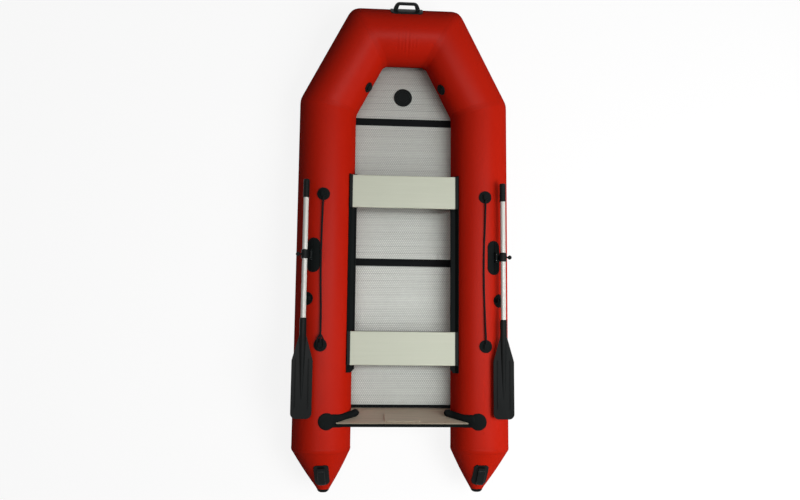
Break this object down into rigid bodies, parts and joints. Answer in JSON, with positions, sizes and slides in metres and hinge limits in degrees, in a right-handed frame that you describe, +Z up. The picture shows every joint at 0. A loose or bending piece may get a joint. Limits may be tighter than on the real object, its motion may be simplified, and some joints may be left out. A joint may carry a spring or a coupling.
{
  "type": "inflatable boat",
  "caption": "Inflatable boat with mitred side and bow tubes, tapered stern cones, rigid aluminium floor, plywood transom, sliding bench seats and stowed oars.",
  "frame": {"origin": "on the ground under the middle of the boat's length and beam", "axes": "+Y to the bow, +X to starboard, +Z up"},
  "size_m": [1.564, 3.5676, 0.485],
  "materials": {
    "red_pvc": "satin coated fabric",
    "hull_skin": "satin coated fabric",
    "black_rubber": "matt moulded rubber",
    "floor_aluminium": "embossed, brushed across",
    "black_profile": "matt",
    "black_plastic": "satin moulded",
    "plywood": "varnished plywood",
    "seat_finish": "pale satin paint",
    "oar_shaft": "satin tube",
    "steel": "bright rod",
    "rope": "braided cord"
  },
  "bodies": {
    "hull": {"bow_cross_tube": "red_pvc", "starboard_bow_tube": "red_pvc", "port_bow_tube": "red_pvc", "starboard_side_tube": "red_pvc", "port_side_tube": "red_pvc", "starboard_stern_cone": "red_pvc", "port_stern_cone": "red_pvc", "bottom_skin": "hull_skin", "cone_caps": "black_rubber", "keel_strake": "black_rubber", "transom_trim": "black_rubber", "transom_holders": "black_rubber", "starboard_seat_rail": "black_rubber", "port_seat_rail": "black_rubber", "starboard_rowlock_base": "black_rubber", "port_rowlock_base": "black_rubber", "oar_clips": "black_rubber", "oar_clip_lips": "black_rubber", "line_anchors": "black_rubber", "bow_handle": "black_rubber", "side_handles": "black_rubber", "stern_handles": "black_rubber", "outer_motor_pad": "black_rubber", "bow_floor_panel": "floor_aluminium", "floor_panel_1": "floor_aluminium", "floor_panel_2": "floor_aluminium", "floor_panel_3": "floor_aluminium", "floor_panel_4": "floor_aluminium", "floor_joint_profiles": "black_profile", "floor_end_strip": "black_profile", "keel_valve_cover": "black_plastic", "air_valves": "black_plastic", "transom_drain": "black_plastic", "transom_board": "plywood", "inner_motor_pad": "plywood", "rowlock_rods": "steel", "starboard_grab_line": "rope", "port_grab_line": "rope"},
    "starboard_rowlock": {"starboard_rowlock": "black_plastic"},
    "port_rowlock": {"port_rowlock": "black_plastic"},
    "starboard_oar": {"starboard_oar_shaft": "oar_shaft", "starboard_oar_grip": "black_plastic", "starboard_oar_blade": "black_plastic", "starboard_oar_collar": "black_plastic"},
    "port_oar": {"port_oar_shaft": "oar_shaft", "port_oar_grip": "black_plastic", "port_oar_blade": "black_plastic", "port_oar_collar": "black_plastic"},
    "front_seat": {"front_seat_board": "seat_finish", "front_seat_shoes": "black_plastic"},
    "rear_seat": {"rear_seat_board": "seat_finish", "rear_seat_shoes": "black_plastic"}
  },
  "joints": [
    {"name": "starboard_rowlock_roll", "type": "hinge", "parent": "hull", "child": "starboard_rowlock", "pos_m": [0.66411, -0.11181, 0.42184], "axis": [0, -1, 0], "range_deg": [0, 25]},
    {"name": "starboard_oar_swing", "type": "hinge", "parent": "starboard_rowlock", "child": "starboard_oar", "pos_m": [0.70601, -0.11181, 0.45004], "axis": [0.342, 0, 0.9397], "range_deg": [0, 135]},
    {"name": "port_rowlock_roll", "type": "hinge", "parent": "hull", "child": "port_rowlock", "pos_m": [-0.66411, -0.11181, 0.42184], "axis": [0, 1, 0], "range_deg": [0, 25]},
    {"name": "port_oar_swing", "type": "hinge", "parent": "port_rowlock", "child": "port_oar", "pos_m": [-0.70601, -0.11181, 0.45004], "axis": [0.342, 0, -0.9397], "range_deg": [0, 135]},
    {"name": "front_seat_slide", "type": "slide", "parent": "hull", "child": "front_seat", "axis": [0, -1, 0], "range_m": [0, 0.4]},
    {"name": "rear_seat_slide", "type": "slide", "parent": "hull", "child": "rear_seat", "axis": [0, 1, 0], "range_m": [-0.04, 0.4]}
  ]
}
